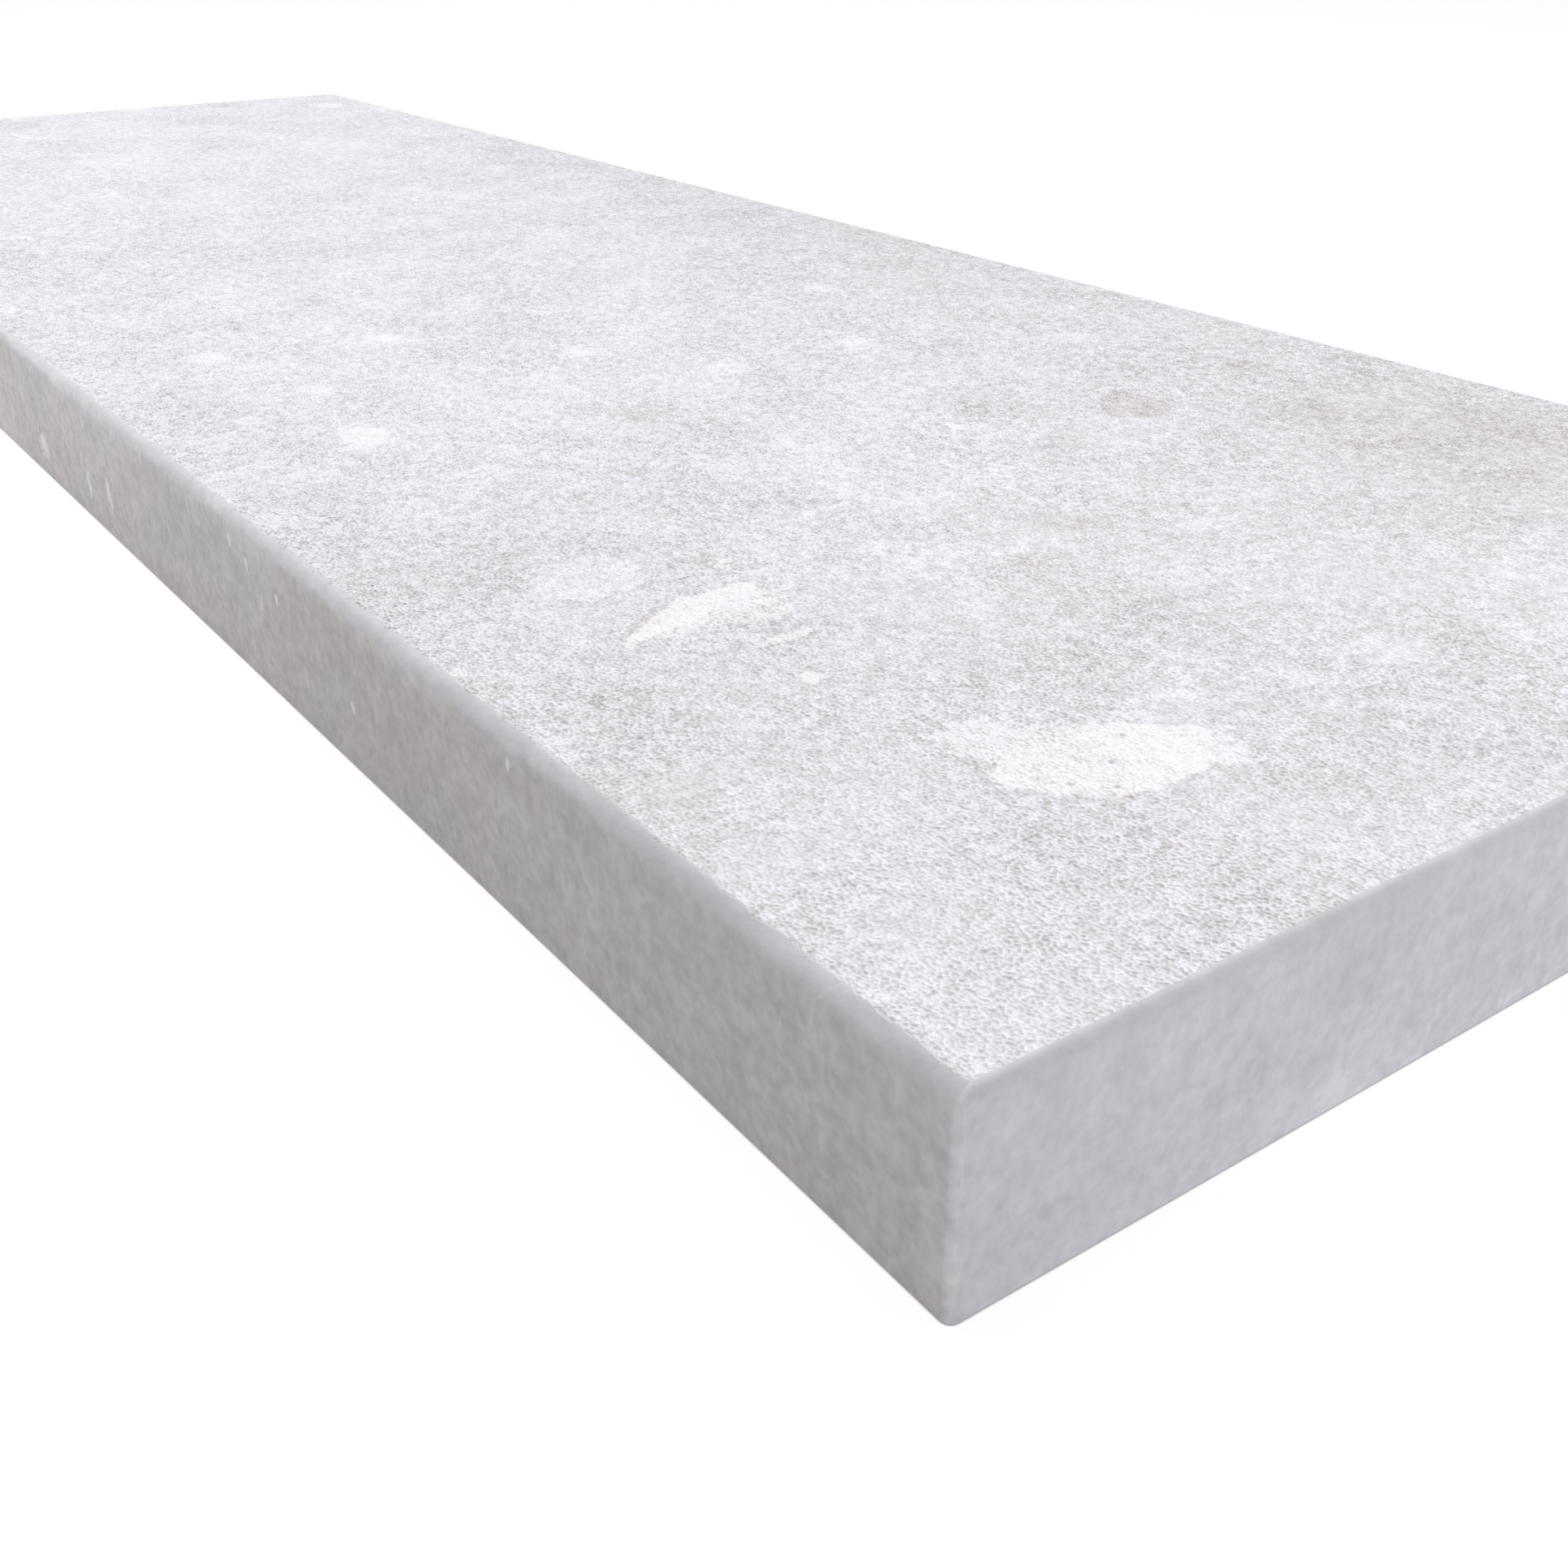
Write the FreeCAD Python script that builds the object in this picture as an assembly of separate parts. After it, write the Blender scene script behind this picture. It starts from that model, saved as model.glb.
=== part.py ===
"""Flat wall coping stone: one slab of pale limestone, sawn square and laid along the top of a wall.

The slab lies as it is bedded. +X runs along the wall, +Y across it and +Z up, and the origin is the
centre of the bedding face. Both long top edges are pencil-rounded, because they overhang the wall faces
and show. The ends and upright corners only have a fine arris, because they meet the next stone, and the
bedding face has the smallest arris, just enough to take off the saw's edge.
"""

import FreeCAD
import Part
import os

# Driving dimensions, in millimetres
length = 900.0
width = 300.0
thickness = 35.0
long_edge_round = 3.0
end_arris = 1.75
bed_arris = 0.5

# Places worked out from them
half_length = length / 2
half_width = width / 2
round_height = thickness - long_edge_round
flat_half_width = half_width - long_edge_round


def at(across, up):
    """A point of the cross-section, on the slab's -X end."""
    return FreeCAD.Vector(-half_length, across, up)


def long_edge_arc(side):
    """The quarter round from the upright face to the top face, on the -Y (-1) or +Y (+1) side."""
    lean = long_edge_round * 0.5 ** 0.5
    return Part.Arc(
        at(side * half_width, round_height),
        at(side * (flat_half_width + lean), round_height + lean),
        at(side * flat_half_width, thickness),
    ).toShape()


def cross_section():
    """The face that the saw and the edge polisher leave: square below, rounded above."""
    edges = [
        Part.makeLine(at(-half_width, 0), at(half_width, 0)),
        Part.makeLine(at(half_width, 0), at(half_width, round_height)),
        long_edge_arc(+1),
        Part.makeLine(at(flat_half_width, thickness), at(-flat_half_width, thickness)),
        long_edge_arc(-1),
        Part.makeLine(at(-half_width, round_height), at(-half_width, 0)),
    ]
    return Part.Face(Part.Wire(edges))


def bed_edges(solid):
    """The edges round the bedding face, which is the lowest face."""
    return min(solid.Faces, key=lambda face: face.CenterOfMass.z).Edges


def end_edges(solid):
    """The edges round the two end faces, which lie furthest along -X and +X."""
    along_wall = sorted(solid.Faces, key=lambda face: face.CenterOfMass.x)
    return along_wall[0].Edges + along_wall[-1].Edges


def coping_slab():
    """The cross-section run along the wall, then its ends eased and its bed edges dulled."""
    slab = cross_section().extrude(FreeCAD.Vector(length, 0, 0))
    bed = bed_edges(slab)
    eased = [edge for edge in end_edges(slab) if not any(edge.isSame(low) for low in bed)]
    slab = slab.makeFillet(end_arris, eased)
    return slab.makeFillet(bed_arris, bed_edges(slab))


os.makedirs("parts", exist_ok=True)
slab = coping_slab()
slab.exportStep("parts/coping_slab.step")
size = slab.optimalBoundingBox()
print(f"coping_slab valid {slab.isValid()}, {len(slab.Solids)} solid, {len(slab.Faces)} faces")
print(f"size {size.XLength:.3f} x {size.YLength:.3f} x {size.ZLength:.3f} mm")
print(f"volume {slab.Volume / 1e6:.4f} litres")
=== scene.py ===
"""Looks of the flat limestone wall coping: the stone with its grained top, then the studio and the camera."""

import bpy
import numpy as np
from mathutils import Matrix, Vector


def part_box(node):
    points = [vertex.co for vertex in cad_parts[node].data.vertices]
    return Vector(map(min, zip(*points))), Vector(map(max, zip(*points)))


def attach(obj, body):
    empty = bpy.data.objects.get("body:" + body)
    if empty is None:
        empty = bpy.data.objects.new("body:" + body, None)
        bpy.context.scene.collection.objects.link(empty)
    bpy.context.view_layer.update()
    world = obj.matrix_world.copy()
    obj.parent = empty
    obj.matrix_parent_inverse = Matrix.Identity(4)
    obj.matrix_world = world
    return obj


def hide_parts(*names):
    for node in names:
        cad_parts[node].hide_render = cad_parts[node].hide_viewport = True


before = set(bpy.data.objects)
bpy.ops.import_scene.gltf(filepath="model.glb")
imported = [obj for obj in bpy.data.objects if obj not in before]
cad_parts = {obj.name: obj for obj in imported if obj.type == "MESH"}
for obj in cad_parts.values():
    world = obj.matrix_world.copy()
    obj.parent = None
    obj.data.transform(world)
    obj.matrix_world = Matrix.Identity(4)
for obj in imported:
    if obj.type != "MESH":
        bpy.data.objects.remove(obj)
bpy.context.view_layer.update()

# The stone's body: one slab of pale shelly limestone, sawn to size. Its long top edges are polished to a
# pencil round, its ends and upright corners only have the sharpness taken off, and its bed is left sawn.
# The mesh is a grid for the top, a profile carried round the outline for edges and sides, and a flat bed.

MM = 0.001
lowest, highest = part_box("coping_slab")
HALF_LENGTH = (highest[0] - lowest[0]) / 2
HALF_WIDTH = (highest[1] - lowest[1]) / 2
THICKNESS = highest[2] - lowest[2]
LONG_ROUND = 3.0 * MM
END_ARRIS = 1.75 * MM
BED_ARRIS = 0.5 * MM
PROUDEST = 0.2 * MM
TOP_LEVEL = THICKNESS - PROUDEST
TOP_X = HALF_LENGTH - END_ARRIS
TOP_Y = HALF_WIDTH - LONG_ROUND

# How finely each stretch of the mesh is divided, and how far its columns are drawn towards the +X end
LONG_STEPS = 448
CROSS_STEPS = 148
CORNER_STEPS = 5
ROUND_STEPS = 7
SIDE_STEPS = 9
BED_STEPS = 3
BED_COARSER = 4
CLOSER_BY = 0.17

chance = np.random.default_rng(35)
LATTICE = 64


def soft_noise(x, y, cell):
    """Value noise from -1 to 1: random heights on a square lattice, eased between by 3t^2 - 2t^3."""
    heights = chance.uniform(-1, 1, (LATTICE, LATTICE))
    u = x / cell
    v = y / cell
    i = np.floor(u).astype(int)
    j = np.floor(v).astype(int)
    u = (u - i) ** 2 * (3 - 2 * (u - i))
    v = (v - j) ** 2 * (3 - 2 * (v - j))
    here = heights[i % LATTICE, j % LATTICE] * (1 - u) + heights[(i + 1) % LATTICE, j % LATTICE] * u
    next_row = (j + 1) % LATTICE
    there = heights[i % LATTICE, next_row] * (1 - u) + heights[(i + 1) % LATTICE, next_row] * u
    return here * (1 - v) + there * v


def depth_inside(x, y, outline):
    """Distance in metres from each point to a closed outline, positive inside it and negative outside.

    It is the least distance to the outline's straight runs, and a point is inside where a ray along +X from
    it crosses the outline an odd number of times.
    """
    corner = np.array(outline) * MM
    run = np.roll(corner, -1, axis=0) - corner
    from_x = x[..., None] - corner[:, 0]
    from_y = y[..., None] - corner[:, 1]
    along = np.clip((from_x * run[:, 0] + from_y * run[:, 1]) / (run ** 2).sum(axis=1), 0, 1)
    distance = np.hypot(from_x - along * run[:, 0], from_y - along * run[:, 1]).min(axis=-1)
    level = run[:, 1] == 0
    rise = np.where(level, 1.0, run[:, 1])
    spans = (from_y >= 0) != (from_y >= run[:, 1])
    crossed = spans & (from_x < from_y / rise * run[:, 0])
    return np.where(crossed.sum(axis=-1) % 2 == 1, distance, -distance)


# What the brushed top cuts through, as outlines on it in millimetres from its centre: a great shell with a
# fainter lobe and tail, a small shell, a flake with its slope and the fade between them, and a rusty nodule
GREAT_SHELL = [
    (405.0, -60.2), (408.1, -63.0), (412.8, -68.0), (413.4, -78.8), (412.0, -85.5), (408.0, -91.5),
    (400.6, -98.6), (396.2, -98.2), (392.6, -93.5), (390.8, -88.0), (392.5, -84.0), (391.0, -80.0),
    (392.4, -74.0), (394.4, -70.0), (397.2, -66.8), (401.5, -61.2),
]
SHELL_LOBE = [
    (394.0, -92.0), (394.0, -97.0), (386.0, -98.5), (380.5, -97.0), (377.5, -90.5), (379.6, -85.0),
    (386.0, -81.5), (389.6, -76.0), (392.6, -71.0), (396.0, -72.0),
]
SHELL_TAIL = [
    (402.5, -58.8), (406.4, -57.2), (411.0, -59.6), (415.0, -63.2), (414.4, -67.4), (412.8, -70.0),
    (408.0, -64.0),
]
SMALL_SHELL = [
    (175.0, -105.0), (178.8, -100.0), (183.8, -98.4), (191.9, -98.8), (195.0, -101.3), (193.8, -105.0),
    (194.7, -109.4), (192.5, -112.5), (182.5, -111.3), (179.4, -110.0),
]
FLAKE = [
    (323.9, -118.8), (315.5, -105.6), (311.6, -99.8), (311.8, -93.2), (311.0, -84.6), (315.2, -82.6),
    (317.9, -86.2), (317.8, -91.1), (320.4, -96.2), (322.6, -101.6), (322.6, -107.1), (324.0, -112.4),
    (325.6, -117.8),
]
FLAKE_SLOPE = [
    (311.0, -83.8), (314.4, -82.5), (322.5, -83.1), (330.0, -85.6), (331.9, -88.8), (328.1, -95.6),
    (325.5, -103.0), (326.3, -111.3), (325.0, -117.0), (318.0, -104.0), (312.5, -93.0),
]
FLAKE_FADE = [
    (312.5, -83.5), (318.5, -84.0), (324.0, -88.0), (325.5, -96.0), (326.8, -104.0), (326.8, -112.0),
    (325.0, -117.0), (318.0, -104.0), (313.0, -93.0),
]
NODULE = [
    (258.1, 66.3), (267.5, 68.8), (272.5, 68.8), (276.9, 67.5), (280.0, 63.1), (281.3, 59.4),
    (280.6, 54.4), (275.6, 48.8), (271.9, 48.4), (264.4, 54.4), (261.3, 58.1),
]
SHELL_STAND = 0.12 * MM
SLOPE_STAND = 0.6 * PROUDEST
STEP_WIDTH = 1.0 * MM
SLOPE_WIDTH = 5.0 * MM
TOP_WAVES = ((46.0, 0.05), (13.0, 0.03), (5.0, 0.03))


def top_height(x, y):
    """Height of the brushed top: its level, waves of three lengths on it, and what stands proud.

    A shell steps up at its outline. The flake steps up to its full height at its own outline, and the slope
    behind it sinks back to the level over a few millimetres.
    """
    waves = sum(depth * MM * soft_noise(x, y, length * MM) for length, depth in TOP_WAVES)
    shell = np.maximum(depth_inside(x, y, GREAT_SHELL), depth_inside(x, y, SMALL_SHELL))
    shell = np.clip(shell / STEP_WIDTH, 0, 1) * SHELL_STAND
    flake = np.clip(depth_inside(x, y, FLAKE) / STEP_WIDTH, 0, 1) * PROUDEST
    slope = np.clip(depth_inside(x, y, FLAKE_SLOPE) / SLOPE_WIDTH, 0, 1) * SLOPE_STAND
    return np.minimum(TOP_LEVEL + waves + shell + np.maximum(flake, slope), THICKNESS)


def closer(share):
    """Shares of the length from -1 to 1 drawn towards +X by a parabola, so that they lie closer there."""
    return share + CLOSER_BY * (1 - share ** 2)


def columns():
    """Columns round the outline, anticlockwise from the -X, -Y corner: where each stands and where it faces.

    On a side the place runs from -1 to 1 and the facing is the side's own. On a corner the place stays and
    the facing turns a quarter. Joined is the number of the top's edge point that a column runs up to.
    """
    turn = np.linspace(0, np.pi / 2, CORNER_STEPS + 1)[1:-1]
    corner_place = np.tile([1.0, -1.0], (len(turn), 1))
    corner_facing = np.stack([np.sin(turn), -np.cos(turn)], 1)
    place, facing, joined = [], [], []
    start = 0
    for side, steps in enumerate((LONG_STEPS, CROSS_STEPS, LONG_STEPS, CROSS_STEPS)):
        spin = np.array(Matrix.Rotation(side * np.pi / 2, 2)).T
        run = np.linspace(-1, 1, steps + 1)
        side_place = np.stack([run, -np.ones_like(run)], 1)
        side_facing = np.tile([0.0, -1.0], (steps + 1, 1))
        place += [side_place @ spin, corner_place @ spin]
        facing += [side_facing @ spin, corner_facing @ spin]
        joined += [start + np.arange(steps + 1), np.full(len(turn), start + steps)]
        start += steps
    place = np.concatenate(place)
    place[:, 0] = closer(place[:, 0])
    return place, np.concatenate(facing), np.concatenate(joined) % start


def edge_loop(along, across):
    """Numbers of a grid's edge points, anticlockwise from its first corner."""
    grid = np.arange(along * across).reshape(across, along)
    return np.concatenate([grid[0, :-1], grid[:-1, -1], grid[-1, :0:-1], grid[:0:-1, 0]])


def grid_faces(along, across):
    """The squares of a grid, each as four point numbers, anticlockwise from above."""
    grid = np.arange(along * across).reshape(across, along)
    return np.stack([grid[:-1, :-1], grid[:-1, 1:], grid[1:, 1:], grid[1:, :-1]], -1).reshape(-1, 4)


def zip_faces(upper, lower):
    """Squares between two closed loops, and triangles where one of the loops repeats a point."""
    squares = np.stack([lower, np.roll(lower, -1), np.roll(upper, -1), upper], -1)
    low_moves = squares[:, 0] != squares[:, 1]
    up_moves = squares[:, 2] != squares[:, 3]
    triangles = [squares[~low_moves & up_moves][:, 1:], squares[low_moves & ~up_moves][:, :3]]
    return squares[low_moves & up_moves], np.concatenate(triangles)


# Endness is one for a column that faces an end and nought for one that faces a long side
place, facing, joined = columns()
endness = facing[:, 0] ** 2
round_at = LONG_ROUND + (END_ARRIS - LONG_ROUND) * endness
round_turn = np.linspace(0, np.pi / 2, ROUND_STEPS + 1)[1:]
bed_turn = np.linspace(0, np.pi / 2, BED_STEPS + 1)[1:]


def profile_row(inset_long, inset_end, height):
    """One row of the profile carried round the outline, drawn in on the long sides and on the ends."""
    corner = END_ARRIS - inset_end
    x = place[:, 0] * TOP_X + corner * facing[:, 0]
    y = place[:, 1] * (HALF_WIDTH - inset_long - corner) + corner * facing[:, 1]
    return np.stack([x, y, np.broadcast_to(height, x.shape)], -1)


# The polisher leaves the rounds a little flatter in places, most of all half-way round
ROUND_FLATTER = 0.16 * MM
outline_x, outline_y = profile_row(0.0, 0.0, 0.0)[:, :2].T
uneven = 0.6 * soft_noise(outline_x, outline_y, 34 * MM) + 0.4 * soft_noise(outline_x, outline_y, 9 * MM)
flatter = ROUND_FLATTER / 2 * (1 + uneven)

rows = []
for turn in round_turn:
    gap = 1 - np.sin(turn)
    row = profile_row(LONG_ROUND * gap, END_ARRIS * gap, TOP_LEVEL - round_at * (1 - np.cos(turn)))
    pressed = flatter * np.sin(2 * turn)
    outward = np.column_stack([facing * np.sin(turn), np.full(len(row), np.cos(turn))])
    rows.append(row - pressed[:, None] * outward)
shoulder = rows[-1][:, 2]
for drop in np.linspace(0, 1, SIDE_STEPS + 1)[1:]:
    rows.append(profile_row(0.0, 0.0, shoulder + (BED_ARRIS - shoulder) * drop))
for turn in bed_turn:
    inset = BED_ARRIS * (1 - np.cos(turn))
    rows.append(profile_row(inset, inset, BED_ARRIS * (1 - np.sin(turn))))
strip = np.stack(rows)

top_x, top_y = np.meshgrid(
    TOP_X * closer(np.linspace(-1, 1, LONG_STEPS + 1)),
    TOP_Y * np.linspace(-1, 1, CROSS_STEPS + 1),
)
top = np.stack([top_x, top_y, top_height(top_x, top_y)], -1).reshape(-1, 3)

bed_along = LONG_STEPS // BED_COARSER + 1
bed_across = CROSS_STEPS // BED_COARSER + 1
bed_x, bed_y = np.meshgrid(
    TOP_X * closer(np.linspace(-1, 1, bed_along)),
    (HALF_WIDTH - END_ARRIS) * np.linspace(-1, 1, bed_across),
)
bed = np.stack([bed_x, bed_y, np.zeros_like(bed_x)], -1).reshape(-1, 3)

points = np.concatenate([top, strip.reshape(-1, 3), bed])
strip_start = len(top)
bed_start = len(points) - len(bed)
strip_loops = np.arange(strip_start, bed_start).reshape(strip.shape[:2])
top_loop = edge_loop(LONG_STEPS + 1, CROSS_STEPS + 1)[joined]
bed_edge = edge_loop(bed_along, bed_across)
bed_loop = bed_start + bed_edge[np.round(joined / BED_COARSER).astype(int) % len(bed_edge)]

loops = [top_loop, *strip_loops, bed_loop]
zipped = [zip_faces(upper, lower) for upper, lower in zip(loops[:-1], loops[1:])]
top_squares = grid_faces(LONG_STEPS + 1, CROSS_STEPS + 1)
bed_squares = bed_start + grid_faces(bed_along, bed_across)[:, ::-1]
squares = np.concatenate([top_squares, bed_squares] + [four for four, three in zipped])
triangles = np.concatenate([three for four, three in zipped])

mesh = bpy.data.meshes.new("coping_stone")
mesh.from_pydata(points, [], squares.tolist() + triangles.tolist())
mesh.shade_smooth()
stone = bpy.data.objects.new("coping_stone", mesh)
bpy.context.collection.objects.link(stone)
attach(stone, "root")
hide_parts("coping_slab")


# The stone's finish: the top is brushed so that white grains stand under a millimetre apart over beige and
# grey pits. Clouds, pale veins, shells and rusty spots run through it. Edges and sides are polished smooth
# and show the same stone greyer and softly mottled, with painted light and shade on their rounds, corners
# and feet, and, as painted warm light, a touch warmer on the long faces than on the ends.

def keep_on_points(name, values):
    """Stores one number for each point of the stone, for its material to read."""
    mesh.attributes.new(name, "FLOAT", "POINT").data.foreach_set("value", values.astype(np.float32))


# The stone unrolled flat: the sides folded out round the top, and the bed laid far off to one side
BED_APART = 1.0
down_round = np.outer(round_turn, round_at)
down_side = round_at * np.pi / 2 + shoulder - strip[ROUND_STEPS:, :, 2]
side_drop = np.concatenate([down_round, down_side])
side_x = place[:, 0] * TOP_X + facing[:, 0] * side_drop
side_y = place[:, 1] * TOP_Y + facing[:, 1] * side_drop
flat_x = np.concatenate([top[:, 0], side_x.ravel(), bed[:, 0]])
flat_y = np.concatenate([top[:, 1], side_y.ravel(), bed[:, 1] + BED_APART])


def layered(*layers):
    """Value noises of several cell sizes in millimetres, each times its own weight, added up."""
    return sum(weight * soft_noise(flat_x, flat_y, cell * MM) for cell, weight in layers)


def ease(value, low, high):
    """Step from 0 to 1 as the value goes from low to high, eased by 3t^2 - 2t^3."""
    share = np.clip((value - low) / (high - low), 0, 1)
    return share ** 2 * (3 - 2 * share)


def in_outline(*outlines):
    """How many millimetres inside the nearest of some outlines each point lies, and outside below nought."""
    return np.max([depth_inside(flat_x, flat_y, outline) for outline in outlines], axis=0) / MM


def in_oval(x, y, half_long, half_short, turn=0.0):
    """How many millimetres inside a turned oval each point lies: one less its share of the radius, times
    the lesser half size.
    """
    along_x, along_y = np.cos(np.radians(turn)), np.sin(np.radians(turn))
    from_x, from_y = flat_x / MM - x, flat_y / MM - y
    long_share = (from_x * along_x + from_y * along_y) / half_long
    short_share = (from_y * along_x - from_x * along_y) / half_short
    return (1 - np.hypot(long_share, short_share)) * min(half_long, half_short)


def off_run(start, stop):
    """Distance in millimetres from each point to a straight run, from the nearest point on it."""
    run = np.subtract(stop, start)
    from_x, from_y = flat_x / MM - start[0], flat_y / MM - start[1]
    along = np.clip((from_x * run[0] + from_y * run[1]) / (run @ run), 0, 1)
    return np.hypot(from_x - along * run[0], from_y - along * run[1])


def off_path(*path):
    """The least of those distances to a path of straight runs."""
    return np.min([off_run(start, stop) for start, stop in zip(path[:-1], path[1:])], axis=0)


# How far each point lies past the line where the brushed grain gives way to the polish, in millimetres. On
# the ends the line is straighter, so there the distance counts for more.
GRAIN_STOPS_LONG = 0.4
GRAIN_STOPS_END = 0.0
END_CRISPER = 2.5
FAR_PAST = 20.0
grain_stops = GRAIN_STOPS_LONG + (GRAIN_STOPS_END - GRAIN_STOPS_LONG) * endness
crisper = 1 + (END_CRISPER - 1) * endness
arc = np.concatenate([down_round / MM, np.full_like(down_side, FAR_PAST)])
past_grain = np.full(len(points), FAR_PAST)
to_edge = np.minimum(END_CRISPER * (TOP_X - np.abs(top_x)), TOP_Y - np.abs(top_y))
past_grain[:strip_start] = -GRAIN_STOPS_LONG - to_edge.ravel() / MM
past_grain[top_loop] = -grain_stops
past_grain[strip_start:bed_start] = ((arc - grain_stops) * crisper).ravel()
keep_on_points("past_grain", past_grain)

# Broad tone, as a share of the way from pits to white grains. Fine veins run where two smooth fields cross
# nought. The clouds are duller away from the first field's veins, and the far part is set paler, because its
# coarser grain shows more of the pits.
OFF_VEINS_DULLER = 0.08
FAR_PALER = 0.063
vein_net = layered((31, 0.5), (13, 0.35), (6, 0.15))
vein_mesh = layered((18, 0.5), (8, 0.35), (5, 0.15))
clouds = layered((140, 0.02), (52, 0.03), (21, 0.025), (9, 0.025)) - OFF_VEINS_DULLER * np.abs(vein_net)
tone = clouds + np.interp(flat_x / MM, (250.0, 400.0), (FAR_PALER, 0.0))

# Dull and pale patches, each with its weight, its middle, its half sizes and its turn: along the back, on
# the far, middle and near parts of the top, on the front face, and on the near end
BROAD_PATCHES = (
    (-0.08, 40.0, 140.0, 200.0, 80.0, -6.0), (-0.07, 60.0, 155.0, 330.0, 45.0),
    (-0.04, 0.0, 150.0, 520.0, 90.0), (-0.04, 255.0, 142.0, 95.0, 22.0), (0.04, 90.0, 138.0, 65.0, 22.0),

    (-0.04, -260.0, -60.0, 160.0, 110.0), (0.03, -300.0, 20.0, 60.0, 50.0),
    (-0.05, -150.0, 100.0, 75.0, 45.0), (-0.05, -120.0, -115.0, 45.0, 32.0),
    (-0.05, -415.0, 125.0, 45.0, 32.0), (-0.05, -360.0, -50.0, 45.0, 32.0),
    (-0.05, -155.0, 62.0, 70.0, 45.0), (-0.04, -420.0, 135.0, 50.0, 30.0),
    (-0.03, -120.0, 130.0, 60.0, 35.0),

    (0.09, 130.0, -85.0, 150.0, 80.0, -4.0), (0.03, 120.0, -5.0, 170.0, 45.0),
    (0.05, 205.0, -115.0, 75.0, 35.0), (0.05, 0.0, -85.0, 65.0, 60.0), (0.04, 30.0, -125.0, 70.0, 40.0),
    (0.03, 160.0, 10.0, 70.0, 50.0), (0.03, 245.0, -40.0, 40.0, 30.0), (0.03, 60.0, -125.0, 80.0, 35.0),

    (-0.08, 330.0, 110.0, 130.0, 70.0), (-0.05, 340.0, 55.0, 60.0, 45.0),
    (-0.06, 365.0, -145.0, 60.0, 20.0), (0.07, 428.0, -125.0, 65.0, 55.0),
    (0.02, 400.0, -80.0, 60.0, 45.0), (-0.03, 320.0, 110.0, 60.0, 45.0),
    (-0.06, 384.0, -129.0, 14.0, 12.0), (-0.04, 300.0, -62.0, 35.0, 28.0),
    (0.02, 450.0, -40.0, 40.0, 40.0), (-0.03, 330.0, 100.0, 50.0, 45.0),
    (-0.03, 360.0, 10.0, 40.0, 35.0), (-0.04, 360.0, 75.0, 35.0, 30.0),

    (0.12, 100.0, -153.0, 90.0, 25.0), (0.08, 225.0, -150.0, 75.0, 12.0),
    (-0.07, 305.0, -171.0, 42.0, 20.0), (-0.02, 410.0, -168.0, 60.0, 20.0),
    (-0.05, 300.0, -170.0, 110.0, 24.0), (-0.07, 60.0, -170.0, 50.0, 22.0),

    (-0.10, 459.0, -75.0, 24.0, 11.0, 90.0), (0.12, 481.0, -74.0, 20.0, 7.0, 90.0),
)
BROAD_FADE = 0.9
for weight, x, y, half_long, half_short, *turn in BROAD_PATCHES:
    tone += weight * ease(in_oval(x, y, half_long, half_short, *turn), 0, BROAD_FADE * half_short)

# Small pale patches
PALE_PATCHES = (
    (293.0, -106.0, 12.0, 14.0), (157.0, -123.0, 7.0, 5.0), (182.0, 42.0, 5.0, 6.0),
    (103.0, -62.0, 10.0, 4.5, 25.0), (146.0, -27.0, 7.0, 6.0), (67.0, -105.0, 4.0, 6.0),
    (93.0, -111.0, 8.0, 7.0), (142.0, -140.0, 9.0, 3.5), (401.0, -12.0, 8.0, 10.0), (120.0, 75.0, 9.0, 7.0),
    (213.0, 96.0, 8.0, 8.0), (302.0, -87.0, 3.0, 3.0), (184.0, -3.0, 9.0, 7.0), (141.0, -99.0, 9.0, 5.0),
    (339.0, 9.0, 5.0, 10.0), (276.0, -15.0, 3.0, 3.0), (187.0, 120.0, 4.0, 3.0), (213.0, -81.0, 4.0, 3.0),
    (225.0, -115.0, 3.0, 6.0), (-125.0, 50.0, 9.0, 6.0, 60.0), (-402.0, 125.0, 14.0, 10.0),
    (-186.0, -23.0, 5.0, 4.0), (-182.0, -55.0, 9.0, 4.0, -20.0), (-407.0, -17.0, 5.0, 4.0),
    (-370.0, 143.0, 12.0, 4.0, 10.0), (122.0, -174.0, 4.5, 4.0), (59.0, -175.5, 7.0, 5.0),
    (246.0, -162.0, 5.0, 4.0),
)
PALE_FADE = 3.5
PALER_BY = 0.09
patchy = sum(ease(in_oval(*patch), 0, PALE_FADE) for patch in PALE_PATCHES)
tone += PALER_BY * patchy

# Dark clasts
DARK_CLASTS = (
    (284.0, 21.0, 9.0, 3.5, 65.0), (264.0, -48.0, 4.0, 4.5), (342.0, -129.0, 10.0, 6.0),
    (249.0, 26.0, 8.0, 7.0), (256.5, 46.5, 4.0, 3.0), (122.0, 36.0, 4.0, 3.0, 60.0),
    (300.0, 90.0, 9.0, 12.0), (278.0, -49.0, 7.0, 5.0), (207.0, -45.0, 8.0, 5.0), (231.0, -113.0, 3.0, 7.0),
    (196.0, -115.0, 3.0, 5.0), (114.0, -123.0, 4.0, 4.0), (186.0, 111.0, 3.0, 3.0), (139.5, 79.5, 2.5, 3.0),
    (321.0, 123.0, 9.0, 7.0), (355.0, -126.0, 5.0, 5.0),
)
CLAST_FADE = 2.5
DARKER_BY = 0.08
tone -= DARKER_BY * sum(ease(in_oval(*clast), 0, CLAST_FADE) for clast in DARK_CLASTS)

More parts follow.
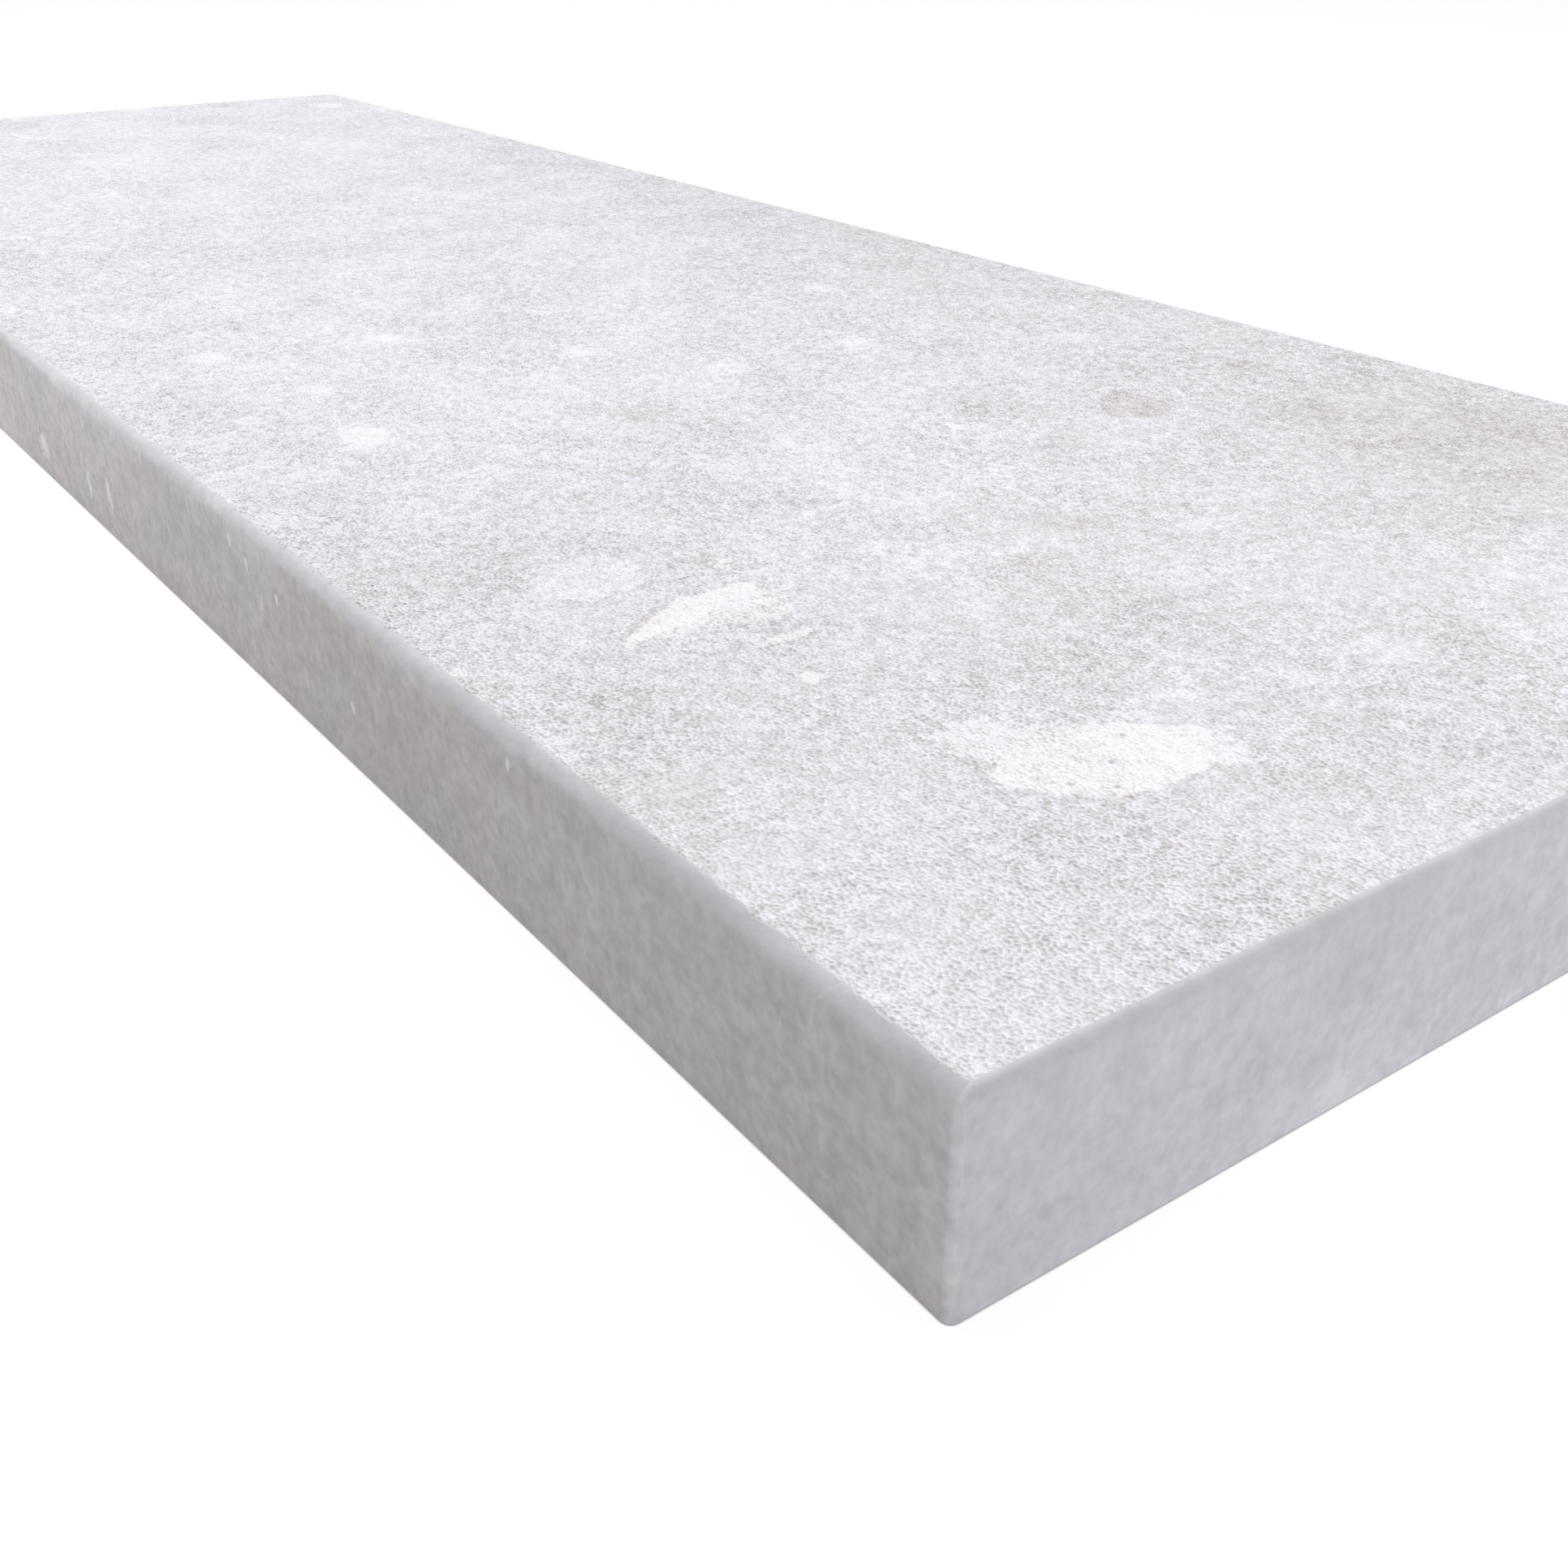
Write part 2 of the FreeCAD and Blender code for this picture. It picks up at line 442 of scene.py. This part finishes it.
# The pale veins that can be followed by eye, each a path after its half width
VEINS = (
    (3.5, (276, 45), (267, 24), (270, 9)),
    (2.4, (240, -54), (242, -63), (231, -72), (213, -81), (204, -87)),
    (4.0, (294, -30), (320, -42), (345, -57), (365, -68), (382, -80)),
    (2.6, (162, 96), (186, 82), (210, 69)),
    (2.2, (159, 87), (175, 74), (186, 63)),
    (4.5, (382, 60), (393, 30), (399, 16), (414, 12)),
    (2.6, (228, 39), (230, 22), (232, 9), (240, -2)),
    (2.4, (192, -132), (200, -127), (208, -120), (222, -118)),
    (3.4, (150, -70), (135, -82), (120, -90), (108, -100)),
    (2.4, (260, -35), (275, -30), (292, -28)),
    (2.4, (282, 66), (296, 68), (310, 64)),
    (2.6, (70, -60), (82, -72), (90, -88)),
    (2.2, (414, -64), (416, -59), (420, -56)),
)
VEIN_PALER_BY = 0.10
for half_width, *path in VEINS:
    tone += VEIN_PALER_BY * ease(half_width - off_path(*path), 0, half_width)
keep_on_points("tone", tone)

# Pits are beiger towards the +X end. A warm stain on the long faces follows the net of veins and fades
# towards that end. The fine veins come and go, and the grain is coarser towards the -X end and finer on
# pale patches.
BEIGER_NEAR = 0.4
beige = 0.5 + layered((60, 0.15), (20, 0.20), (7, 0.30)) + BEIGER_NEAR * flat_x / HALF_LENGTH
keep_on_points("beige", np.clip(beige, 0, 1))
keep_on_points("stain", ease(vein_net, -0.3, 0.3) * np.interp(flat_x / MM, (330.0, 430.0), (1.0, 0.2)))
keep_on_points("vein_net", vein_net)
keep_on_points("vein_mesh", vein_mesh)
keep_on_points("vein_share", ease(layered((44, 0.6), (17, 0.4)), -0.25, 0.35))
FINER_ON_PALE = 0.35
coarse = np.interp(flat_x / MM, (0.0, 250.0, 330.0, 400.0), (1.45, 1.35, 1.15, 1.0))
keep_on_points("coarse", coarse * (1 + layered((34, 0.16), (12, 0.2)) - FINER_ON_PALE * patchy))

# The nodule and the rusty spots round it, the white shells, and the flake's slope, in millimetres inside each
RUST_SPOTS = (
    (336.0, -32.0, 6.0, 6.0), (306.0, -49.0, 4.0, 4.0), (249.0, 86.0, 5.0, 3.0, -60.0),
    (275.0, 88.0, 10.0, 3.0, -70.0), (347.0, 65.0, 3.5, 3.0), (375.0, 62.0, 3.5, 3.0),
    (300.0, 57.0, 7.0, 3.5, 90.0), (-91.0, -99.0, 3.0, 3.0), (284.0, 20.0, 7.0, 2.5, 65.0),
    (230.0, -83.0, 5.0, 3.0, -40.0), (240.0, -88.0, 5.0, 3.0, 30.0), (228.0, 118.0, 6.0, 4.0),
    (261.0, 112.0, 8.0, 6.0), (325.0, 78.0, 5.0, 4.0), (327.0, 93.0, 5.0, 4.0), (249.0, 27.0, 7.0, 5.0),
    (324.0, -12.0, 5.0, 8.0), (207.0, -45.0, 7.0, 4.0), (141.0, 96.0, 5.0, 4.0), (99.0, 57.0, 4.0, 3.0),
    (316.0, 20.0, 5.0, 4.0),
)
keep_on_points("nodule", in_outline(NODULE))
keep_on_points("rust_spots", np.max([in_oval(*spot) for spot in RUST_SPOTS], axis=0))
keep_on_points("white_shell", in_outline(GREAT_SHELL, FLAKE))
keep_on_points("shell_lobe", in_outline(SHELL_LOBE, SHELL_TAIL))
keep_on_points("soft_shell", in_outline(SMALL_SHELL))
keep_on_points("flake_fade", in_outline(FLAKE_FADE))
keep_on_points("flake_slope", in_outline(FLAKE_SLOPE))

# How bright the edges and sides are beside the faces, by the millimetres round an edge, above the floor or
# from a corner, all of it painted light and shade. The long rounds get a painted highlight in wandering
# bands, though near the +X end only in their lower half with painted shade above, and so does the long side
# of each upright corner. The end arrises get a painted highlight above and painted shade below, the ends
# painted shade towards their upright corners, and the feet of the ends and long faces painted light against
# the floor's shade.
from_corner = HALF_WIDTH / MM - np.abs(strip[..., 1] / MM)
height = strip[..., 2] / MM
wavy = arc + 1.7 * soft_noise(outline_x, outline_y, 15 * MM)
wavy += 0.9 * soft_noise(outline_x, outline_y, 6 * MM)
on_long = np.interp(wavy, (0.0, 1.6, 3.2, 3.8, 4.4), (1.12, 1.085, 1.165, 1.10, 1.0))
on_long_near = np.interp(wavy, (0.0, 1.6, 2.6, 3.4, 4.2), (0.925, 0.93, 1.01, 1.03, 1.0))
on_long += (on_long_near - on_long) * np.interp(strip[..., 0] / MM, (280.0, 400.0), (0.0, 1.0))
on_long *= np.interp(height, (0.0, 1.5, 4.0, 12.0), (1.07, 1.06, 1.03, 1.0))
on_end = np.interp(arc, (0.0, 0.55, 1.0, 1.5, 2.2, 2.8, 3.2), (1.09, 0.99, 0.87, 0.87, 0.91, 0.96, 0.975))
on_end *= np.interp(from_corner, (1.75, 6.0, 15.0, 45.0), (0.92, 0.945, 0.965, 1.0))
on_end *= np.interp(height, (0.0, 1.0, 2.0, 3.5, 5.0, 12.0), (1.17, 1.165, 1.14, 1.10, 1.07, 1.0))
on_corner = np.interp(endness, (0.0, 0.1, 0.35, 0.65, 0.9, 1.0), (1.0, 1.16, 1.20, 1.17, 1.07, 1.0))
painted_light_and_tone = np.ones(len(points))
painted_light_and_tone[strip_start:bed_start] = ((on_long + (on_end - on_long) * endness) * on_corner).ravel()

# One on a long face below its round and nought on an end
below_round = np.interp(arc, (3.0, 5.4), (0.0, 1.0))
long_face = np.zeros(len(points))
long_face[strip_start:bed_start] = (below_round * (1 - endness) ** 3).ravel()
keep_on_points("long_face", long_face)

# How strong the mottling is: stronger on the far part of the long faces, calmer where an edge was rubbed
MOTTLE_LONG = 1.25
MOTTLE_END = 0.85
MOTTLE_ROUND = 0.55
face_mottle = MOTTLE_LONG * np.interp(strip[..., 0] / MM, (0.0, 300.0), (1.25, 1.0))
face_mottle += (MOTTLE_END - face_mottle) * endness
mottled = np.full(len(points), MOTTLE_LONG)
mottled[strip_start:bed_start] = (MOTTLE_ROUND + (face_mottle - MOTTLE_ROUND) * below_round).ravel()
keep_on_points("mottled", mottled)

# The sides' painted light and shade is stored times the broad tone as a share of their brightness, but on the
# back long face and the bed times only the clouds in it
SIDE_TONE = 0.62
side_tone = np.where(flat_y > TOP_Y, clouds, tone)
keep_on_points("painted_light_and_tone", painted_light_and_tone * (1 + SIDE_TONE * mottled * side_tone))

# One on the sawn bed
on_bed = np.zeros(len(points))
on_bed[strip_loops[-1, 0]:] = 1.0
keep_on_points("on_bed", on_bed)

limestone = bpy.data.materials.new("limestone")
limestone.use_nodes = True
tree = limestone.node_tree
tree.nodes.clear()


def join(value, socket):
    """Joins another node's output to an input, or sets the input to a plain value."""
    if isinstance(value, bpy.types.NodeSocket):
        tree.links.new(value, socket)
    else:
        socket.default_value = value


def node(kind, inputs, **settings):
    """A shader node with its settings and inputs, in the material or world that is being made."""
    made = tree.nodes.new("ShaderNode" + kind)
    for name, value in settings.items():
        setattr(made, name, value)
    for name, value in inputs.items():
        join(value, made.inputs[name])
    return made


def noise(size, detail, roughness):
    """Noise from 0 to 1 whose lumps are about that size, with finer lumps on them."""
    shape = {"Scale": 1 / size, "Detail": detail, "Roughness": roughness}
    return node("TexNoise", {"Vector": on_stone, **shape}).outputs["Fac"]


def math(operation, first, second=0.0):
    """One arithmetic step on numbers."""
    return node("Math", {0: first, 1: second}, operation=operation).outputs[0]


def total(*terms):
    """The sum of some numbers."""
    added = terms[0]
    for term in terms[1:]:
        added = math("ADD", added, term)
    return added


def times(value, weight):
    """A number times a weight."""
    return math("MULTIPLY", value, weight)


def around(value, weight):
    """A noise brought to swing about nought, times a weight."""
    return node("Math", {0: value, 1: weight, 2: -weight / 2}, operation="MULTIPLY_ADD").outputs[0]


def ramp(value, low, high, to_low=0.0, to_high=1.0):
    """Eased step from to_low to to_high as the value goes from low to high."""
    ends = {"From Min": low, "From Max": high, "To Min": to_low, "To Max": to_high}
    return node("MapRange", {"Value": value, **ends}, interpolation_type="SMOOTHSTEP").outputs["Result"]


def mix(share, first, second, way="MIX"):
    """The first colour, giving way to the second as the share goes from 0 to 1."""
    made = node("Mix", {0: share}, data_type="RGBA", blend_type=way)
    join(first, made.inputs[6])
    join(second, made.inputs[7])
    return made.outputs[2]


def kept(name):
    """One of the numbers kept on the stone's points."""
    return node("Attribute", {}, attribute_name=name).outputs["Fac"]


GRAIN_SIZE = 0.62 * MM
CRUMB_SIZE = 2.0 * MM
LUMP_SIZE = 6.0 * MM
on_stone = node("TexCoord", {}).outputs["Object"]
grain = noise(GRAIN_SIZE, 0.5, 0.5)
crumbs = noise(CRUMB_SIZE, 1.0, 0.55)
lumps = noise(LUMP_SIZE, 1.0, 0.6)


def mark(depth, raggedness, starts, full, most=1.0):
    """How strongly a mark shows by the depth inside it, from nought where it starts to its most where it is
    full. Crumbs of the stone make its edge ragged.
    """
    return ramp(total(depth, around(crumbs, raggedness)), starts, full, 0.0, most)


def in_bits(*bits):
    """How far inside the nearest of some small lens shapes: 1 at a middle, 0 at an edge.

    Each is given by its middle and its half sizes along X, Y and Z, in millimetres.
    """
    nearest = None
    for middle, half_sizes in bits:
        scale = [1 / (size * MM) for size in half_sizes]
        shift = [-part / size for part, size in zip(middle, half_sizes)]
        local = node("VectorMath", {0: on_stone, 1: scale, 2: shift}, operation="MULTIPLY_ADD").outputs[0]
        out = node("VectorMath", {0: local}, operation="LENGTH").outputs["Value"]
        nearest = out if nearest is None else math("MINIMUM", nearest, out)
    return math("SUBTRACT", 1.0, nearest)


TOP_BIT_DEPTH = 6.0
SIDE_BIT_DEPTH = 5.0


def on_top(x, y, half_x, half_y):
    """A bit that the top cuts through its middle."""
    return (x, y, THICKNESS / MM), (half_x, half_y, TOP_BIT_DEPTH)


def on_front(x, z, half_x, half_z):
    """A bit that the front long face cuts through its middle."""
    return (x, -HALF_WIDTH / MM, z), (half_x, SIDE_BIT_DEPTH, half_z)


def on_near_end(y, z, half_y, half_z):
    """A bit that the +X end cuts through its middle."""
    return (HALF_LENGTH / MM, y, z), (SIDE_BIT_DEPTH, half_y, half_z)


# Small shell bits on the top, crisp and faint ones, small pits in the great shell, and on the sides crisp
# flecks and soft streaks
shell_bits = in_bits(
    on_top(353.0, -99.0, 2.8, 2.2),
    on_top(317.6, -145.6, 2.2, 1.6),
    on_top(259.0, 12.4, 3.6, 2.3),
    on_top(241.0, -50.2, 4.6, 1.3),
    on_top(243.5, -49.0, 2.2, 1.9),
)
faint_bits = in_bits(
    on_top(301.0, -81.3, 1.5, 3.0),
    on_top(337.2, -92.2, 1.7, 8.2),
    on_top(246.0, -27.0, 4.5, 1.4),
    on_top(288.0, -52.0, 1.9, 1.6),
    on_top(224.0, -36.0, 2.6, 1.3),
)
shell_pits = in_bits(
    on_top(403.3, -80.4, 0.9, 0.9),
    on_top(404.6, -90.2, 1.0, 0.7),
    on_top(397.9, -72.7, 0.8, 0.7),
    on_top(409.2, -85.2, 0.7, 0.7),
    on_top(412.4, -85.8, 0.8, 0.7),
    on_top(406.6, -96.7, 0.8, 0.8),
)
side_flecks = in_bits(
    on_front(217.6, 28.7, 1.2, 2.6),
    on_front(226.3, 26.2, 1.1, 2.2),
    on_front(242.3, 23.8, 1.1, 1.9),
    on_front(277.5, 13.8, 1.0, 1.8),
    on_front(123.0, 12.8, 2.4, 5.4),
    on_front(104.0, 9.5, 2.0, 4.6),
    on_front(60.0, 9.0, 5.5, 5.0),
    on_front(109.0, 27.1, 1.1, 2.0),
    on_front(342.6, 29.6, 0.8, 1.4),
)
side_streaks = in_bits(
    on_near_end(-59.6, 5.2, 1.1, 2.4),
    on_near_end(-58.4, 7.8, 1.0, 2.4),
    on_near_end(-78.0, 0.4, 7.0, 1.5),
    on_near_end(-66.0, 0.4, 6.0, 1.5),
    on_near_end(-40.0, 1.8, 7.0, 1.6),
    on_front(-5.0, 20.0, 3.0, 7.0),
    on_front(88.0, 20.0, 3.0, 6.0),
    on_front(232.0, 18.0, 2.0, 5.0),
    on_front(254.0, 10.0, 2.2, 5.0),
    on_front(415.7, 25.1, 1.0, 1.7),
)

# The painted shadow under the flake's raised lower edge: a long thin lens, broken into pits
FLAKE_SHADOW_TURN = np.radians(-56)
flake_shadow = node("Mapping", {
    "Vector": on_stone,
    "Location": (317.5 * MM, -110.5 * MM, THICKNESS),
    "Rotation": (0.0, 0.0, FLAKE_SHADOW_TURN),
    "Scale": (13 * MM, 1.5 * MM, 6 * MM),
}, vector_type="TEXTURE").outputs[0]
flake_shadow = math("SUBTRACT", 1.0, node("VectorMath", {0: flake_shadow}, operation="LENGTH").outputs["Value"])
flake_shadow = mark(flake_shadow, 4.0, 0.4, 1.2, 0.5)
holes_and_shadow = math("MAXIMUM", flake_shadow, mark(shell_pits, 0.8, 0.0, 0.6, 0.65))

# Fine veins along the lines where the two fields cross nought, wandering a little round the crumbs
VEIN_REACH = 0.065
wander = around(crumbs, 0.14)
net_line = ramp(math("ABSOLUTE", total(kept("vein_net"), wander)), 0.0, VEIN_REACH, 1.0, 0.0)
mesh_line = ramp(math("ABSOLUTE", total(kept("vein_mesh"), wander)), 0.0, VEIN_REACH, 0.7, 0.0)
veins = times(math("MAXIMUM", net_line, mesh_line), kept("vein_share"))

# Shells, crisp and soft ones, and rust: the nodule, its spots, and the slope where no shell covers it
SLOPE_RUST = 0.55
shell = mark(kept("white_shell"), 1.8, -0.5, 0.7)
bits = mark(shell_bits, 0.7, 0.0, 0.3)
softer_shells = (
    mark(kept("shell_lobe"), 7.0, -1.0, 3.0, 0.7),
    mark(kept("flake_fade"), 5.0, 0.0, 4.5, 0.6),
    mark(kept("soft_shell"), 4.0, -0.8, 2.6, 0.8),
    bits,
    mark(faint_bits, 1.0, 0.0, 0.5, 0.95),
)
for softer in softer_shells:
    shell = math("MAXIMUM", shell, softer)
nodule = mark(kept("nodule"), 3.0, -0.5, 0.5)
spots = mark(kept("rust_spots"), 6.0, -1.0, 3.0, 0.5)
slope = mark(kept("flake_slope"), 4.0, -0.5, 1.5, 0.6)
bare_slope = times(slope, math("SUBTRACT", 1.0, shell))
rust = math("MAXIMUM", math("MAXIMUM", nodule, spots), times(bare_slope, SLOPE_RUST))

# How far the top's colour goes from pits to white grains. The relief of the grains swings it up and down,
# less on shells and the nodule. Pale tones, veins and shells raise it, and rust lowers it.
USUAL_WHITE = 0.73
SHELL_RELIEF = 0.8
VEIN_LIFT = 0.13
SHELL_LIFT = 0.26
BIT_LIFT = 0.1
SLOPE_LIFT = 0.22
RUST_LIFT = -0.14
relief = times(total(around(grain, 1.05), around(crumbs, 0.75)), kept("coarse"))
smoother = ramp(math("MAXIMUM", shell, nodule), 0.0, 1.0, 1.0, SHELL_RELIEF)
top_veins = times(veins, math("SUBTRACT", 1.0, nodule))
lift = times(shell, total(SHELL_LIFT, around(lumps, 0.25), times(bits, BIT_LIFT)))
lift = total(lift, times(slope, SLOPE_LIFT))
white_share = total(USUAL_WHITE, kept("tone"), around(lumps, 0.15), times(top_veins, VEIN_LIFT))
white_share = total(white_share, times(relief, smoother), lift, times(rust, RUST_LIFT))

# The colours of pits and grains: rust turns the pits brown, and the slope's grains are a warmer white
GREY_PIT = (0.338, 0.317, 0.340, 1)
BEIGE_PIT = (0.368, 0.310, 0.266, 1)
RUSTY_PIT = (0.290, 0.200, 0.150, 1)
GRAIN = (0.946, 0.933, 1.0, 1)
SLOPE_GRAIN = (0.965, 0.932, 0.945, 1)
SHELL = (0.967, 0.967, 1.0, 1)
HOLE_AND_SHADOW = (0.50, 0.45, 0.42, 1)
pit = mix(total(kept("beige"), around(crumbs, 1.5)), GREY_PIT, BEIGE_PIT)
pit = mix(rust, pit, RUSTY_PIT)
white = mix(shell, mix(bare_slope, GRAIN, SLOPE_GRAIN), SHELL)
top_colour = mix(white_share, pit, white)
# The small pits in the great shell, and the painted shadow under the flake, take the hole colour
top_colour = mix(holes_and_shadow, top_colour, HOLE_AND_SHADOW)

# The polished faces: the same stone, softer and greyer, with a painted warm tint and stains on the long
# faces, flecks and streaks
END_DARK = (0.522, 0.507, 0.538, 1)
END_LIGHT = (0.67, 0.655, 0.692, 1)
LONG_WARM = (0.985, 0.952, 0.895, 1)
LONG_COOL = (0.962, 0.945, 0.916, 1)
FLECK = (0.88, 0.86, 0.865, 1)
USUAL_LIGHT = 0.52
SIDE_VEIN_LIFT = 0.3
mottle = times(total(around(crumbs, 1.3), around(lumps, 1.4)), kept("mottled"))
light_share = total(USUAL_LIGHT, mottle, times(veins, SIDE_VEIN_LIFT))
side_colour = mix(light_share, END_DARK, END_LIGHT)
# The painted light and shade of the edges, corners and feet, with the broad tone, multiplies the side colour
side_colour = mix(1.0, side_colour, kept("painted_light_and_tone"), way="MULTIPLY")
# The long faces take a warm tint a little darker than the ends: painted warm light, warmer still in the stain
# along the veins
long_tint = mix(kept("stain"), LONG_COOL, LONG_WARM)
side_colour = mix(kept("long_face"), side_colour, long_tint, way="MULTIPLY")
fleck = mark(side_flecks, 1.6, 0.0, 0.6, 0.85)
streak = mark(side_streaks, 2.0, 0.0, 1.2, 0.4)
side_colour = mix(math("MAXIMUM", fleck, streak), side_colour, FLECK)

# The sawn bed: fine straight marks across the slab, and a duller grey
BED_DULL = (0.90, 0.89, 0.88, 1)
SAW_PITCH = 14 * MM
SAW_SHOWS = 0.6
saw = node("TexWave", {
    "Vector": on_stone, "Scale": 1 / SAW_PITCH, "Distortion": 1.5, "Detail": 2.0, "Detail Scale": 3.0,
}, bands_direction="X").outputs["Fac"]
sawn = times(saw, kept("on_bed"))
side_colour = mix(times(sawn, SAW_SHOWS), side_colour, BED_DULL, way="MULTIPLY")

# The grain gives way to the polish along a narrow line, which grains, crumbs and lumps make ragged
LINE_HALF = 0.28
ragged = total(around(grain, 1.3), around(crumbs, 1.2), around(lumps, 1.8))
polished = ramp(total(kept("past_grain"), ragged), -LINE_HALF, LINE_HALF)
colour = mix(polished, top_colour, side_colour)

BUMP_DEPTH = 0.75 * MM
TOP_BUMP = 0.80
POLISHED_BUMP = 0.08
TOP_ROUGHNESS = 0.82
POLISHED_ROUGHNESS = 0.60
STONE_SPECULAR = 0.3
bump = node("Bump", {
    "Strength": ramp(polished, 0.0, 1.0, TOP_BUMP, POLISHED_BUMP),
    "Distance": BUMP_DEPTH,
    "Height": relief,
}).outputs["Normal"]
roughness = total(ramp(polished, 0.0, 1.0, TOP_ROUGHNESS, POLISHED_ROUGHNESS), around(lumps, 0.12))
surface = node("BsdfPrincipled", {
    "Base Color": colour,
    "Roughness": roughness,
    "Specular IOR Level": STONE_SPECULAR,
    "Normal": bump,
})
node("OutputMaterial", {"Surface": surface.outputs["BSDF"]})
mesh.materials.append(limestone)

# The floor: a plain white studio sweep that the stone lies on. The camera sees it lit almost to white,
# with what is left of the stone's shadow and a painted dark contact line under the stone's edges, and the
# stone gets its light back from it.

FLOOR_REACH = 30.0
floor_corners = [(x * FLOOR_REACH, y * FLOOR_REACH, 0.0) for x, y in ((-1, -1), (1, -1), (1, 1), (-1, 1))]
floor_mesh = bpy.data.meshes.new("floor")
floor_mesh.from_pydata(floor_corners, [], [(0, 1, 2, 3)])
floor = bpy.data.objects.new("floor", floor_mesh)
bpy.context.collection.objects.link(floor)
paper = bpy.data.materials.new("white_paper")
paper.use_nodes = True
tree = paper.node_tree
tree.nodes.clear()


def seen_directly():
    """One for a ray that shows the backdrop itself, straight or mirrored or through glass."""
    path = node("LightPath", {}).outputs
    straight = math("MAXIMUM", path["Is Camera Ray"], path["Is Glossy Ray"])
    return math("MAXIMUM", straight, path["Is Transmission Ray"])


WHITE = (1, 1, 1, 1)
PAPER_WHITE = (0.8, 0.8, 0.8, 1)
SHADOW_KEPT = (0.12, 0.12, 0.12, 1)
SEEN_GLOW = 0.92
# In the gap under the stone's bed arris the glow is dimmed by how shut in the floor is: a painted contact
# shadow
CONTACT_GLOW = 0.1
CONTACT_GAP = 0.6 * MM
bounced = node("BsdfDiffuse", {"Color": PAPER_WHITE}).outputs[0]
shadowed = node("BsdfDiffuse", {"Color": SHADOW_KEPT}).outputs[0]
clear = node("AmbientOcclusion", {"Distance": CONTACT_GAP}, samples=8).outputs["AO"]
glow_strength = ramp(clear, 0.1, 0.7, CONTACT_GLOW, SEEN_GLOW)
glow = node("Emission", {"Color": WHITE, "Strength": glow_strength}).outputs[0]
shown = node("AddShader", {0: shadowed, 1: glow}).outputs[0]
sweep = node("MixShader", {0: seen_directly(), 1: bounced, 2: shown}).outputs[0]
node("OutputMaterial", {"Surface": sweep})
floor_mesh.materials.append(paper)

# The light: a faint even surround, a broad soft box over the far half of the stone, a small one off its
# long face, and two off its end, one towards the camera and one away from it.

SURROUND = 0.25
world = bpy.data.worlds.new("white_surround")
bpy.context.scene.world = world
world.use_nodes = True
tree = world.node_tree
tree.nodes.clear()
strength = total(SURROUND, times(seen_directly(), 1 - SURROUND))
sky = node("Background", {"Color": WHITE, "Strength": strength}).outputs[0]
node("OutputWorld", {"Surface": sky})


def soft_box(name, place, aim, side, power, tint):
    """A square lamp at a place, turned to face a point, and not itself seen."""
    lamp = bpy.data.lights.new(name, "AREA")
    lamp.shape = "SQUARE"
    lamp.size = side
    lamp.energy = power
    lamp.color = tint
    holder = bpy.data.objects.new(name, lamp)
    bpy.context.collection.objects.link(holder)
    holder.location = place
    holder.rotation_euler = (Vector(aim) - Vector(place)).to_track_quat("-Z", "Y").to_euler()
    holder.visible_camera = False


NEUTRAL = (1.0, 1.0, 1.0)
WARM = (1.0, 0.975, 0.965)
COOL = (0.98, 0.98, 1.0)
NEAR_END = (0.45, 0.0, 0.02)
soft_box("overhead", (-0.45, 0.15, 1.5), (-0.1, 0.0, 0.0), side=1.8, power=26.2, tint=NEUTRAL)
soft_box("long_side", (-0.34, -0.55, 0.25), (-0.28, -0.15, 0.02), side=0.3, power=0.90, tint=WARM)
soft_box("near_side", (1.2, -0.35, 0.30), NEAR_END, side=0.5, power=1.5, tint=NEUTRAL)
soft_box("end_side", (0.85, 0.4, 0.30), NEAR_END, side=0.4, power=1.85, tint=COOL)

# The camera: close to the stone's near corner, looking along it and down, with a lens a little wider than
# a normal one.

CAMERA_PLACE = (0.55760, -0.25063, 0.15317)
CAMERA_FORWARD = (-0.71523, 0.51027, -0.47756)
FOCAL_PIXELS = 2094.2
PHOTO_PIXELS = 1932
lens = bpy.data.cameras.new("camera")
lens.sensor_width = 36.0
lens.lens = FOCAL_PIXELS / PHOTO_PIXELS * lens.sensor_width
lens.clip_start = 0.01
camera = bpy.data.objects.new("camera", lens)
bpy.context.collection.objects.link(camera)
camera.location = CAMERA_PLACE
camera.rotation_euler = Vector(CAMERA_FORWARD).to_track_quat("-Z", "Y").to_euler()
bpy.context.scene.camera = camera
bpy.context.scene.view_settings.view_transform = "Standard"
